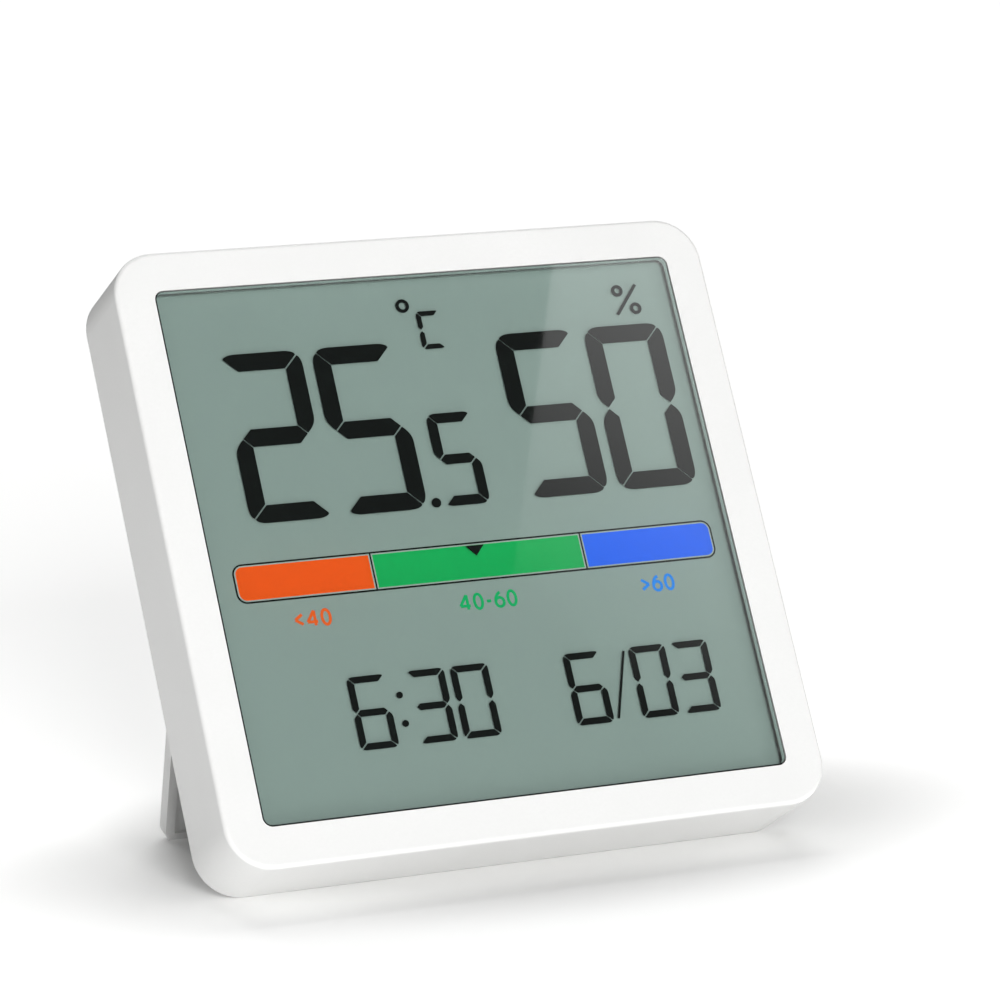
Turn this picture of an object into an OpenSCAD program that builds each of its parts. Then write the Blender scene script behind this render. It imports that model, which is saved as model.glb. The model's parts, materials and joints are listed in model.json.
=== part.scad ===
// Desk thermo-hygrometer with a clock: a rounded square case that leans back on a folding stand.
// Every piece is drawn in the frame of the case: x to the right, y up the face, z from the back
// plane to the face. place() leans that frame back and sets it on the table, face towards -Y.

/* [Case] */
// Width of the case
body_w = 72; // [70:0.5:84]
// Height of the face
body_h = 71; // [70:0.5:84]
// Depth from the back plane to the face
body_d = 11.8; // [11.4:0.1:16]
// Radius of the four corners, seen from the front
corner_r = 5.1; // [4:0.1:8]
// Radius of the small rounding along the front and back edges
edge_r = 0.5; // [0.2:0.05:0.8]
// Thickness of the side walls
wall_t = 1.6; // [1.2:0.1:2]
// Thickness of the front frame round the window
bezel_t = 0.8; // [0.8:0.1:1.4]
// Angle by which the face leans back from upright
lean = 29.4; // [28:0.1:36]

/* [Window] */
// Width of the front frame at both sides of the window
frame_side = 4.5; // [4:0.1:7]
// Width of the front frame above and below the window
frame_end = 4.6; // [4:0.1:7]
// Corner radius of the window opening
window_r = 1.1; // [0.6:0.1:2.5]
// Gap between the window panel and its opening
lens_gap = 0.15; // [0.1:0.05:0.3]
// How far the window panel lies below the front frame
lens_recess = 0.05; // [0:0.05:0.3]
// Thickness of the panel's flange behind the front frame
lens_flange_t = 0.2; // [0.15:0.05:0.6]
// Gap between the panel's flange and the side walls
lens_side_gap = 0.2; // [0.1:0.05:0.5]

/* [Display layers] */
// Thickness of the front polariser
polariser_t = 0.12; // [0.08:0.01:0.3]
// Thickness of each of the two glass plates
glass_t = 0.3; // [0.2:0.05:0.7]
// Thickness of the liquid crystal segments, drawn thicker than they are
segment_t = 0.08; // [0.04:0.01:0.2]
// Thickness of the printed comfort film
film_t = 0.05; // [0.03:0.01:0.15]
// Thickness of the reflector at the back of the display
reflector_t = 0.2; // [0.1:0.05:0.4]
// Gap between the display and the rim of its holder
display_gap = 0.1; // [0.05:0.05:0.3]
// Strip at the bottom of the front glass that carries the contacts
contact_ledge = 1.65; // [1.4:0.05:2]
// How far the readings sit to the right of the window's centre
reading_shift_x = 0.7; // [-1:0.05:1]
// How far the readings sit above the window's centre
reading_shift_y = 0.5; // [-1:0.05:1]

/* [Large readings] */
// Height of the large digits
big_h = 19.85; // [16:0.05:20.5]
// Width of the large digits
big_w = 9.9; // [8:0.05:10.2]
// Stroke of the large digits
big_stroke = 2.05; // [1.4:0.05:2.4]
// Distance from one large digit to the next
big_pitch = 11.2; // [10.6:0.02:11.4]
// Distance from the window's top edge down to the large digits
big_drop = 8.1; // [7:0.05:9]
// Distance from the window's left edge to the temperature
temperature_inset = 5.6; // [4:0.1:6.4]
// Distance from the window's right edge to the humidity
humidity_inset = 2.7; // [2:0.1:3.4]
// Height of the tenths digit
tenth_h = 11; // [9:0.1:12]
// Width of the tenths digit
tenth_w = 5.5; // [4.5:0.1:6]
// Stroke of the tenths digit
tenth_stroke = 1.15; // [0.8:0.05:1.4]
// Space between the large digits and the tenths digit
tenth_gap = 2.1; // [1.8:0.05:2.6]
// Radius of the decimal point
point_r = 0.55; // [0.4:0.05:0.65]
// Stroke of the unit signs
unit_stroke = 0.55; // [0.3:0.05:0.6]

/* [Small readings] */
// Height of the clock and date digits
small_h = 8.35; // [6:0.05:9]
// Width of the clock and date digits
small_w = 4.5; // [3.4:0.05:4.6]
// Stroke of the clock and date digits
small_stroke = 0.75; // [0.5:0.05:0.9]
// Distance from the window's bottom edge up to the clock and date
small_rise = 7.05; // [4:0.05:9]
// Distance from the window's left edge to the clock
clock_inset = 12.7; // [9:0.1:14]
// Distance from the window's right edge to the date
date_inset = 6.45; // [6:0.05:10]
// Gap between neighbouring segments of a digit
segment_gap = 0.12; // [0.05:0.01:0.15]

/* [Comfort bar] */
// Distance from each side of the window to the printed comfort bar
bar_margin = 2.3; // [2:0.05:6]
// Height of the printed comfort bar
bar_h = 4.55; // [3:0.05:5]
// Height of the bar's middle above the window's centre
bar_y = -3.65; // [-5:0.05:-3]
// Corner radius of the bar
bar_r = 1.2; // [0.4:0.1:1.4]
// Width of the pointer over the bar
pointer_w = 2.2; // [1.6:0.1:3]

/* [Display holder and board] */
// Gap between the display holder and the side walls
holder_gap = 0.15; // [0.1:0.05:0.25]
// Thickness of the rim round the display
holder_rim = 0.8; // [0.6:0.05:1]
// Thickness of the holder's web behind the display
web_t = 0.9; // [0.6:0.1:1.2]
// Length of each latch rib on the side walls
latch_l = 8; // [4:0.5:12]
// Height of the latch ribs above the walls
latch_h = 0.4; // [0.3:0.05:0.6]
// Width of the elastomer strip between the board and the glass
zebra_w = 1.3; // [1:0.05:1.35]
// Distance from each side of the display to the elastomer strip
zebra_margin = 5.35; // [4.5:0.05:12]
// Thickness of the circuit board
board_t = 1; // [0.8:0.1:1.2]
// Gap between the circuit board and the side walls
board_gap = 1.2; // [0.8:0.1:1.4]
// Radius of the controller's drop of resin
resin_r = 4; // [3:0.1:4.4]
// Height of the controller's drop of resin
resin_h = 1.2; // [0.8:0.1:1.6]
// Side of the square sensor chip
sensor_w = 2.5; // [1.5:0.1:3]
// Height of the sensor chip
sensor_h = 0.9; // [0.6:0.1:1.2]
// Diameter of the clock crystal's can
crystal_d = 2; // [1.4:0.1:2.4]
// Length of the clock crystal's can
crystal_l = 6; // [4:0.1:6.4]

/* [Rear cover] */
// Thickness of the rear cover
cover_t = 1.4; // [1.2:0.1:1.8]
// Gap between the rear cover and the side walls
cover_gap = 0.1; // [0.05:0.05:0.2]
// Thickness of the stand pocket's floor
floor_t = 1.2; // [0.8:0.1:1.3]
// Number of vent slots over the sensor
vent_count = 5; // [3:1:6]
// Width of each vent slot
vent_w = 1; // [0.6:0.1:1.2]
// Length of each vent slot
vent_l = 7; // [4:0.5:8]
// Distance from one vent slot to the next
vent_pitch = 2; // [1.8:0.1:2.2]
// Width of the nail relief below the stand
relief_w = 10; // [6:0.5:14]
// Depth of the nail relief into the cover's lower edge
relief_d = 1; // [0.6:0.1:1.2]

/* [Battery] */
// Diameter of the coin cell
cell_d = 20; // [18:0.1:20.4]
// Height of the coin cell
cell_h = 3.2; // [2.5:0.1:3.3]
// Distance from the case's left side to the middle of the coin cell
cell_inset = 21; // [19.5:0.5:22]
// Thickness of the battery well's floor
well_floor_t = 0.5; // [0.4:0.05:0.7]
// Wall of the door's ring round the cell
door_ring_t = 0.9; // [0.8:0.05:1.2]
// How far the door's lugs reach past the door's edge
lug_reach = 0.8; // [0.6:0.05:1]
// Thickness of the door's lugs
lug_t = 0.9; // [0.7:0.05:1.1]
// Angle that one lug spans
lug_angle = 34; // [26:1:38]
// Angle that the door turns to come free
door_turn = 50; // [44:1:60]
// Clearance round the door
door_gap = 0.1; // [0.05:0.05:0.2]
// Length of the coin slot
coin_slot_l = 13; // [9:0.5:16]
// Width of the coin slot
coin_slot_w = 1.8; // [1.4:0.1:2.4]
// Depth of the coin slot
coin_slot_d = 0.8; // [0.5:0.1:1]

/* [Buttons] */
// Radius of the three button caps
button_r = 2.3; // [1.8:0.1:2.6]
// Clearance round each cap
button_gap = 0.1; // [0.05:0.05:0.2]
// How far the caps lie below the back plane
button_recess = 0.1; // [0:0.05:0.4]
// Distance from one button to the next
button_pitch = 8; // [7:0.1:9]
// Distance from the case's right side to the last button
button_inset = 11; // [10.5:0.1:12]
// Distance from the buttons down from the cover's top edge
button_drop = 8; // [7.5:0.1:9]
// Travel of the buttons
button_travel = 0.3; // [0.2:0.05:0.35]
// Side of the square switch bodies
switch_w = 4.5; // [3.5:0.1:5]
// Height of the switch bodies
switch_h = 1.8; // [1.4:0.1:2]
// Radius of the switch plungers
plunger_r = 1; // [0.7:0.05:1.2]

/* [Stand] */
// Distance from each side of the case to the stand
stand_margin = 5.8; // [5.2:0.1:10]
// Thickness of the stand
stand_t = 2; // [1.7:0.1:2.1]
// Angle between the open stand and the back plane
stand_open = 43.4; // [40:0.1:46]
// Height of the hinge above the middle of the back
hinge_y = 4; // [2:0.1:4.5]
// Depth of the hinge axis below the back plane
hinge_in = 1.3; // [1.2:0.05:1.4]
// Radius of the hinge pins
hinge_r = 0.65; // [0.5:0.05:0.65]
// Length of each hinge pin beyond the stand's side
hinge_l = 1.3; // [0.8:0.1:1.5]
// Clearance round the hinge pins
hinge_gap = 0.05; // [0.03:0.01:0.08]
// Length of the heel above the hinge axis
heel_l = 2.2; // [2:0.05:2.3]
// Depth below the hinge axis at which the heel meets its stop
stop_depth = 1.5; // [1.4:0.05:1.6]
// Clearance between the stand and its pocket
stand_gap = 0.2; // [0.1:0.05:0.3]
// Corner radius at the stand's foot
stand_corner_r = 1.5; // [0.6:0.1:3]
// Rounding along the outer edge of the foot
foot_r = 1.5; // [0.8:0.1:1.6]
// Width of the rim round the stand's inner face
stand_rim = 1.1; // [0.8:0.1:2]
// Depth of the panel sunk in the stand's inner face
panel_sink = 0.5; // [0.2:0.05:0.7]

/* [Screws] */
// Radius of the case screws
case_screw_r = 1; // [0.8:0.05:1.1]
// Radius of the case screws' heads
case_head_r = 1.8; // [1.5:0.1:2]
// Height of the case screws' heads
case_head_h = 1; // [0.8:0.05:1]
// Radius of the bosses that take the case screws
case_boss_r = 2.2; // [1.9:0.1:2.4]
// Radius of the board screws
board_screw_r = 0.8; // [0.6:0.05:0.9]
// Radius of the board screws' heads
board_head_r = 1.4; // [1.2:0.1:1.6]
// Height of the board screws' heads
board_head_h = 0.8; // [0.6:0.1:1]
// Clearance of a screw in its bore
screw_gap = 0.03; // [0.02:0.01:0.1]

/* [Hidden] */
$fn = 64;
through = 1;

// The case set on the table: its back edge and the foot of the open stand touch the ground.
frame_y = body_d * cos(lean) / 2;
frame_z = (body_h / 2 - edge_r) * cos(lean) - edge_r * sin(lean) + edge_r;

// The cavity inside the side walls
cavity_w = body_w - 2 * wall_t;
cavity_h = body_h - 2 * wall_t;
cavity_r = corner_r - wall_t;

// The window opening
window_w = body_w - 2 * frame_side;
window_h = body_h - 2 * frame_end;

// Layers from the front frame back to the holder's web
lens_z = body_d - bezel_t - lens_flange_t;
polariser_z = lens_z - polariser_t;
front_glass_z = polariser_z - glass_t;
segment_z = front_glass_z - segment_t;
rear_glass_z = segment_z - glass_t;
film_z = rear_glass_z - film_t;
reflector_z = film_z - reflector_t;
web_z = reflector_z - web_t;

// The holder and the display in its rim
holder_w = cavity_w - 2 * holder_gap;
holder_h = cavity_h - 2 * holder_gap;
holder_r = cavity_r - holder_gap;
display_pocket_w = holder_w - 2 * holder_rim;
display_pocket_h = holder_h - 2 * holder_rim;
display_w = display_pocket_w - 2 * display_gap;
display_h = display_pocket_h - 2 * display_gap;
display_min_r = 0.4;
display_r = max(display_min_r, holder_r - holder_rim - display_gap);
polariser_inset = 0.4;
reflector_inset = 0.2;
zebra_l = display_w - 2 * zebra_margin;
zebra_y = -display_h / 2 + contact_ledge / 2;
latch_clear = 0.03;
latch_tip = 0.3;
latch_root = 1.2;
latch_spread = 0.28;

// Layers from the back plane up to the circuit board
seat_gap = 0.05;
cell_r = cell_d / 2;
cell_z = cover_t + seat_gap;
well_floor_z = cell_z + cell_h + seat_gap;
board_z = well_floor_z + well_floor_t + 2 * seat_gap;
board_front = board_z + board_t;
board_w = cavity_w - 2 * board_gap;
board_h = cavity_h - 2 * board_gap;
board_r = 2;

// The rear cover
cover_w = cavity_w - 2 * cover_gap;
cover_h = cavity_h - 2 * cover_gap;
cover_r = cavity_r - cover_gap;

// The stand and its pocket
stand_w = body_w - 2 * stand_margin;
hinge_height = hinge_y * cos(lean) + hinge_in * sin(lean) + frame_z;
stand_tilt = stand_open - lean;
stand_inner = stand_t - hinge_in;
foot_spare = 0.35;
stand_l = (hinge_height - stand_inner * sin(stand_tilt)) / cos(stand_tilt) + foot_spare;
heel_reach = norm([heel_l, hinge_in]);
pocket_w = stand_w + 2 * stand_gap;
pocket_top = hinge_y + heel_reach + stand_gap;
pocket_bottom = hinge_y - stand_l - stand_gap;
pocket_floor = stand_t + stand_gap;
hinge_end_t = 0.7;
pocket_side_t = hinge_l + hinge_end_t;
pocket_end_t = 1;
trough_floor = hinge_in + stop_depth + seat_gap;
trough_below = 0.6;
relief_r = (relief_w * relief_w / 4 + relief_d * relief_d) / (2 * relief_d);
relief_sink = 0.3;
relief_z = cover_t + relief_sink;
panel_top = 4;

// The battery well and its door, midway between the stand's pocket and the cover's top edge
well_gap = 0.2;
well_r = cell_r + well_gap;
well_wall_t = 1;
cell_x = cell_inset - body_w / 2;
cell_y = (pocket_top + cover_h / 2) / 2;
cap_step = 0.2;
cap_inset = 1.2;
ring_r = well_r + door_gap;
door_r = ring_r + door_ring_t;
lug_r = door_r + lug_reach;
lug_z = cover_t + seat_gap;
groove_r = lug_r + 2 * door_gap;
groove_z = lug_z + lug_t + door_gap;
lug_count = 3;
lug_start = 90;
notch_spare = 4;
mark_r = 0.4;
mark_d = 0.2;

// Contacts of the coin cell
contact_t = 0.2;
contact_w = 3;
leaf_l = 12;
leaf_spare = 0.5;
clip_w = 4;
clip_foot = 3.4;
clip_clear = 0.4;
clip_top = groove_z + clip_clear;

// Screw seats: two at the top corners and two in the floor of the stand's pocket
case_inset = 4;
case_seat_upper = 1.9;
case_seat_lower = pocket_floor + case_head_h + seat_gap;
case_seat_t = 1.1;
screw_tip_gap = 0.1;
case_screw_l = web_z - screw_tip_gap - case_seat_lower;
case_head_gap = 0.2;
case_pad_r = case_head_r + 1.2;
lower_inset_x = 6.4;
lower_inset_y = 6.85;
case_seats = [
    [cavity_w / 2 - case_inset, cavity_h / 2 - case_inset, case_seat_upper],
    [case_inset - cavity_w / 2, cavity_h / 2 - case_inset, case_seat_upper],
    [pocket_w / 2 - lower_inset_x, pocket_bottom + lower_inset_y, case_seat_lower],
    [lower_inset_x - pocket_w / 2, pocket_bottom + lower_inset_y, case_seat_lower]
];
board_inset = 2.7;
board_lower_inset = 4.2;
board_screw_y = 6;
board_screw_bite = 0.25;
board_screw_l = web_z + board_screw_bite - board_z;
cell_to_screw = 16;
board_seats = [
    [board_w / 2 - board_inset, board_screw_y],
    [board_inset - board_w / 2, board_screw_y],
    [board_w / 2 - board_inset, board_lower_inset - board_h / 2],
    [board_inset - board_w / 2, board_lower_inset - board_h / 2],
    [cell_x + cell_to_screw, board_h / 2 - board_inset]
];
board_boss_t = 0.9;
board_boss_r = board_screw_r + board_boss_t;
boss_hole_gap = 0.4;
cross_w = 0.4;

// Buttons, switches and chips on the back of the board
button_y = cover_h / 2 - button_drop;
button_x = body_w / 2 - button_inset;
button_places = [for (i = [-2:0]) [button_x + i * button_pitch, button_y]];
flange_t = 0.7;
flange_reach = 0.7;
flange_r = button_r + flange_reach;
stem_r = plunger_r + button_gap;
plunger_up = 0.5;
plunger_in = 0.4;
switch_z = board_z - switch_h;
stem_end = switch_z - plunger_up;
icon_d = 0.15;
icon_r = button_r / 2;
icon_stroke = button_r * 0.15;
sensor_inset = 12;
sensor_drop = 7.3;
sensor_x = body_w / 2 - sensor_inset;
sensor_y = cell_y - sensor_drop;
cell_to_resin = 20.5;
resin_drop = 5.8;
resin_to_crystal = 7.5;
resin_x = cell_x + cell_to_resin;
resin_y = cell_y - resin_drop;
crystal_x = resin_x + resin_to_crystal;
passive_size = [1.6, 0.8, 0.5];
passive_pitch = 4;
passive_y = -8;

// Readings that the display shows
temperature = [2, 5];
tenths = 5;
humidity = [5, 0];
clock = [6, 3, 0];
date = [6, 0, 3];
SEGMENTS = ["abcdef", "bc", "abdeg", "abcdg", "bcfg", "acdfg", "acdefg", "abc", "abcdefg", "abcdfg"];
temperature_x = temperature_inset - window_w / 2;
humidity_x = window_w / 2 - humidity_inset - big_pitch - big_w;
tenth_x = temperature_x + big_pitch + big_w + tenth_gap;
big_y = window_h / 2 - big_drop - big_h;
small_y = small_rise - window_h / 2;
bar_w = window_w - 2 * bar_margin;
digit_gap = 0.75;
small_pitch = small_w + digit_gap;
colon_w = 2.55;
slash_w = 3.6;
date_w = 3 * small_w + slash_w + digit_gap;
clock_x = clock_inset - window_w / 2;
date_x = window_w / 2 - date_inset - date_w;
colon_levels = [0.3, 0.69];
slash_reach = 1.22;
slash_trim = 0.35;
pointer_h = pointer_w * 0.54;
pointer_x = -0.3;
pointer_drop = 0.5;

// Unit signs, by their distance from the readings
letter_size = [2.8, 4.55];
letter_offset = [1.55, -1.07];
degree_offset = [0.15, 4.3];
degree_r = 0.8;
percent_offset = [6.4, 3.1];
percent_reach = [1.5, 1.75];
percent_dot = [-0.93, 1.15];
percent_r = 0.7;
thin_stroke = unit_stroke * 0.66;

// Frames and outlines

module place()
    translate([0, frame_y, frame_z])
        rotate([90 - lean, 0, 0])
            children();

module rounded_rect(w, h, r) {
    square([w - 2 * r, h], center = true);
    square([w, h - 2 * r], center = true);
    for (sx = [-1, 1], sy = [-1, 1])
        translate([sx * (w / 2 - r), sy * (h / 2 - r)])
            circle(r);
}

module plate(w, h, r, z0, z1)
    translate([0, 0, z0])
        linear_extrude(z1 - z0)
            rounded_rect(w, h, r);

module slot(l, w, z0, z1)
    translate([0, 0, z0])
        linear_extrude(z1 - z0) {
            square([l - w, w], center = true);
            for (s = [-1, 1])
                translate([s * (l - w) / 2, 0])
                    circle(w / 2);
        }

module post(p, r, z0, z1)
    translate([p.x, p.y, z0])
        cylinder(r = r, h = z1 - z0);

// Section of a side wall, at its distance from the centre of a corner
module wall_section() {
    inner = corner_r - wall_t;
    translate([inner, 0])
        square([wall_t - edge_r, body_d]);
    translate([inner, edge_r])
        square([wall_t, body_d - 2 * edge_r]);
    for (z = [edge_r, body_d - edge_r])
        translate([corner_r - edge_r, z])
            circle(edge_r);
}

// A section set along the straight stretch of one side wall
module along_side(turn, l, shift = 0) {
    reach = (turn % 180 == 0 ? body_w : body_h) / 2 - corner_r;
    rotate(turn)
        translate([reach, shift, 0])
            rotate([90, 0, 0])
                linear_extrude(l, center = true)
                    children();
}

module side_walls()
    for (i = [0:3]) {
        turn = 90 * i;
        side = (i % 2 == 0 ? body_h : body_w) - 2 * corner_r;
        sx = i == 0 || i == 3 ? 1 : -1;
        sy = i < 2 ? 1 : -1;
        along_side(turn, side)
            wall_section();
        translate([sx * (body_w / 2 - corner_r), sy * (body_h / 2 - corner_r), 0])
            rotate(turn)
                rotate_extrude(angle = 90)
                    wall_section();
    }

// Barbs on the inner walls that hold the display holder against the window panel
module latch_ribs() {
    inner = corner_r - wall_t;
    top = web_z - latch_clear;
    barb = [
        [inner + latch_tip, top],
        [inner - latch_h, top],
        [inner - latch_h, top - latch_tip],
        [inner + latch_tip, top - latch_root]
    ];
    for (i = [0:3], s = [-1, 1])
        along_side(90 * i, latch_l, s * latch_spread * (i % 2 == 0 ? body_h : body_w))
            polygon(barb);
}

module screw(r, l, head_r, head_h) {
    recess_l = head_r * 1.2;
    difference() {
        union() {
            cylinder(r = r, h = l);
            translate([0, 0, -head_h])
                cylinder(r = head_r, h = head_h);
        }
        for (a = [0, 90])
            rotate(a)
                translate([0, 0, -head_h])
                    cube([recess_l, cross_w, head_h], center = true);
    }
}

// Seven-segment digits: the outline turns its corners on a curve, and segments meet at a mitre.
function bend(a, b, c, t) = (1 - t) * (1 - t) * a + 2 * t * (1 - t) * b + t * t * c;

function bar_points(w, h, s) =
    let (r = s, g = segment_gap,
         left = [for (t = [0.5:0.125:1]) bend([0, h - r], [0, h], [r, h], t)],
         tip = [[left[0].x + g, left[0].y]],
         curve = [for (i = [1:len(left) - 1]) left[i]],
         half = concat([[s + g, h - s]], tip, curve),
         other = [for (i = [len(half) - 1:-1:0]) [w - half[i].x, half[i].y]])
    concat(half, other);

function upright_points(w, h, s) =
    let (r = s, g = segment_gap, m = h / 2,
         top = [for (t = [0.5:-0.125:0]) bend([0, h - r], [0, h], [r, h], t)],
         tip = [[top[0].x, top[0].y - g]],
         curve = [for (i = [1:len(top) - 1]) top[i]],
         low = [for (t = [0:0.25:1])
             bend([0, m + s], [0, m + s / 2 + g], [s / 3, m + s / 6 + g], t)])
    concat([[s, h - s - g]], tip, curve, low, [[s / 2, m + g], [s, m + s / 2 + g]]);

function middle_points(w, h, s) =
    let (g = segment_gap, m = h / 2)
    [[s / 2 + g, m], [s + g, m + s / 2], [w - s - g, m + s / 2],
     [w - s / 2 - g, m], [w - s - g, m - s / 2], [s + g, m - s / 2]];

module digit_part(name, w, h, s) {
    across = name == "b" || name == "c" ? 1 : 0;
    down = name == "c" || name == "d" || name == "e" ? 1 : 0;
    translate([across * w, down * h])
        mirror([across, 0])
            mirror([0, down])
                if (name == "g")
                    polygon(middle_points(w, h, s));
                else if (name == "a" || name == "d")
                    polygon(bar_points(w, h, s));
                else
                    polygon(upright_points(w, h, s));
}

module digit(shape, w, h, s)
    for (name = shape)
        digit_part(name, w, h, s);

module ring(r, s)
    difference() {
        circle(r);
        circle(r - s);
    }

module stroke(from, to, s) {
    run = to - from;
    translate(from)
        rotate(atan2(run.y, run.x))
            translate([0, -s / 2])
                square([norm(run), s]);
}

module degree_sign()
    translate([tenth_x, big_y + big_h]) {
        translate(letter_offset)
            digit("adef", letter_size.x, letter_size.y, unit_stroke);
        translate(degree_offset)
            ring(degree_r, thin_stroke);
    }

module percent_sign()
    translate([humidity_x + big_pitch, big_y + big_h] + percent_offset) {
        stroke(-percent_reach, percent_reach, thin_stroke);
        for (s = [-1, 1])
            translate(s * percent_dot)
                ring(percent_r, thin_stroke);
    }

module temperature_reading() {
    for (i = [0:1])
        translate([temperature_x + i * big_pitch, big_y])
            digit(SEGMENTS[temperature[i]], big_w, big_h, big_stroke);
    translate([tenth_x - 1, big_y + point_r])
        circle(point_r);
    translate([tenth_x, big_y])
        digit(SEGMENTS[tenths], tenth_w, tenth_h, tenth_stroke);
    degree_sign();
}

module humidity_reading() {
    for (i = [0:1])
        translate([humidity_x + i * big_pitch, big_y])
            digit(SEGMENTS[humidity[i]], big_w, big_h, big_stroke);
    percent_sign();
}

// Three small digits with a gap after the first for the colon or the slash
module small_reading(x, values, separator_w)
    for (i = [0:2])
        translate([x + i * small_pitch + (i > 0 ? separator_w - digit_gap : 0), small_y])
            digit(SEGMENTS[values[i]], small_w, small_h, small_stroke);

module clock_reading() {
    small_reading(clock_x, clock, colon_w);
    for (f = colon_levels)
        translate([clock_x + small_w + colon_w / 2, small_y + f * small_h])
            circle(small_stroke / 2);
}

module date_reading() {
    slash_x = date_x + small_w + slash_w / 2;
    small_reading(date_x, date, slash_w);
    stroke([slash_x - slash_reach, small_y + slash_trim],
           [slash_x + slash_reach, small_y + small_h - slash_trim], small_stroke / 3);
}

module pointer() {
    top = bar_y + bar_h / 2 - pointer_drop;
    translate([pointer_x, top])
        polygon([[-pointer_w / 2, 0], [pointer_w / 2, 0], [0, -pointer_h]]);
}

// Case and window

module front_shell()
    color("white")
        place()
            difference() {
                union() {
                    inset = edge_r + wall_t;
                    side_walls();
                    plate(body_w - inset, body_h - inset, corner_r - inset / 2, body_d - bezel_t, body_d);
                    latch_ribs();
                }
                plate(window_w, window_h, window_r, body_d - bezel_t - through, body_d + through);
            }

module window_lens()
    color("lightcyan", 0.3)
        place() {
            flange_w = cavity_w - 2 * lens_side_gap;
            flange_h = cavity_h - 2 * lens_side_gap;
            plate(flange_w, flange_h, cavity_r - lens_side_gap, lens_z, body_d - bezel_t);
            plate(window_w - 2 * lens_gap, window_h - 2 * lens_gap, window_r - lens_gap,
                  lens_z + lens_flange_t / 2, body_d - lens_recess);
        }

// Display

module lcd_front_polariser()
    color("darkseagreen", 0.4)
        place()
            plate(display_w - 2 * polariser_inset, display_h - 2 * polariser_inset,
                  display_r, polariser_z, lens_z);

module lcd_front_glass()
    color("azure", 0.4)
        place()
            plate(display_w, display_h, display_r, front_glass_z, polariser_z);

module lcd_segments()
    color("black")
        place()
            translate([reading_shift_x, reading_shift_y, segment_z])
                linear_extrude(segment_t) {
                    temperature_reading();
                    humidity_reading();
                    clock_reading();
                    date_reading();
                    pointer();
                }

// A display layer that stops short of the contact strip along the bottom
module short_layer(inset, z0, z1) {
    w = display_w - 2 * inset;
    h = display_h - contact_ledge - 2 * inset;
    translate([0, contact_ledge / 2, 0])
        plate(w, h, display_r, z0, z1);
}

module lcd_rear_glass()
    color("azure", 0.4)
        place()
            short_layer(0, rear_glass_z, segment_z);

module comfort_film()
    color("mediumseagreen")
        place()
            translate([reading_shift_x, reading_shift_y + bar_y, 0])
                plate(bar_w, bar_h, bar_r, film_z, rear_glass_z);

module lcd_reflector()
    color("darkseagreen")
        place()
            short_layer(reflector_inset, reflector_z, film_z);

module zebra_strip()
    color("dimgray")
        place()
            translate([-zebra_l / 2, zebra_y - zebra_w / 2, board_front])
                cube([zebra_l, zebra_w, front_glass_z - board_front]);

// Holder and board

module lcd_holder()
    color("gainsboro")
        place()
            difference() {
                union() {
                    plate(holder_w, holder_h, holder_r, web_z, lens_z);
                    for (p = case_seats)
                        post(p, case_boss_r, p.z + case_seat_t, web_z + web_t / 2);
                    for (p = board_seats)
                        post(p, board_boss_r, board_front, web_z + web_t / 2);
                }
                plate(display_pocket_w, display_pocket_h, display_r + display_gap,
                      reflector_z, lens_z + through);
                translate([0, zebra_y, 0])
                    cube([zebra_l + display_gap, zebra_w + display_gap, 2 * body_d], center = true);
                for (p = case_seats)
                    post(p, case_screw_r + screw_gap, 0, p.z + case_screw_l + screw_gap);
                for (p = board_seats)
                    post(p, board_screw_r + screw_gap, 0, board_z + board_screw_l + screw_gap);
            }

module main_board()
    color("darkgreen")
        place()
            difference() {
                plate(board_w, board_h, board_r, board_z, board_front);
                for (p = case_seats)
                    post(p, case_boss_r + boss_hole_gap, 0, body_d);
                for (p = board_seats)
                    post(p, board_screw_r + boss_hole_gap, 0, body_d);
            }

// The controller under its drop of black resin
module controller_resin() {
    cap_r = (resin_r * resin_r + resin_h * resin_h) / (2 * resin_h);
    color("black")
        place()
            translate([resin_x, resin_y, 0])
                intersection() {
                    translate([0, 0, board_z - resin_h + cap_r])
                        sphere(cap_r);
                    translate([0, 0, board_z - resin_h])
                        cylinder(r = resin_r, h = resin_h);
                }
}

module crystal()
    color("silver")
        place()
            translate([crystal_x, resin_y + crystal_l / 2, board_z - crystal_d / 2])
                rotate([90, 0, 0])
                    cylinder(d = crystal_d, h = crystal_l);

module sensor_chip()
    color("ivory")
        place()
            translate([sensor_x - sensor_w / 2, sensor_y - sensor_w / 2, board_z - sensor_h])
                difference() {
                    cube([sensor_w, sensor_w, sensor_h]);
                    translate([sensor_w / 2, sensor_w / 2, -through])
                        cylinder(r = sensor_w / 5, h = through + sensor_h / 2);
                }

module chip_passives()
    color("tan")
        place()
            for (i = [-3:3], j = [0:1])
                translate([i * passive_pitch, passive_y - j * passive_pitch, board_z - passive_size.z / 2])
                    cube(passive_size, center = true);

module tact_switches()
    color("dimgray")
        place()
            for (p = button_places)
                difference() {
                    translate([p.x, p.y, switch_z + switch_h / 2])
                        cube([switch_w, switch_w, switch_h], center = true);
                    post(p, plunger_r + button_gap, 0,
                         switch_z + plunger_in + button_travel + button_gap);
                }

module board_screws()
    color("silver")
        place()
            for (p = board_seats)
                translate([p.x, p.y, board_z])
                    screw(board_screw_r, board_screw_l, board_head_r, board_head_h);

// Battery

module battery_cell()
    color("silver")
        place()
            translate([cell_x, cell_y, cell_z]) {
                cylinder(r = cell_r, h = cell_h - cap_step);
                cylinder(r = cell_r - cap_inset, h = cell_h);
            }

// Upright spring that touches the rim of the cell, with its foot on the board
module positive_contact() {
    gap = seat_gap;
    color("goldenrod")
        place()
            translate([cell_x + cell_r + gap, cell_y - clip_w / 2, 0]) {
                translate([0, 0, clip_top])
                    cube([contact_t, clip_w, board_z - clip_top]);
                translate([0, 0, board_z - contact_t])
                    cube([clip_foot, clip_w, contact_t]);
            }
}

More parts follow.
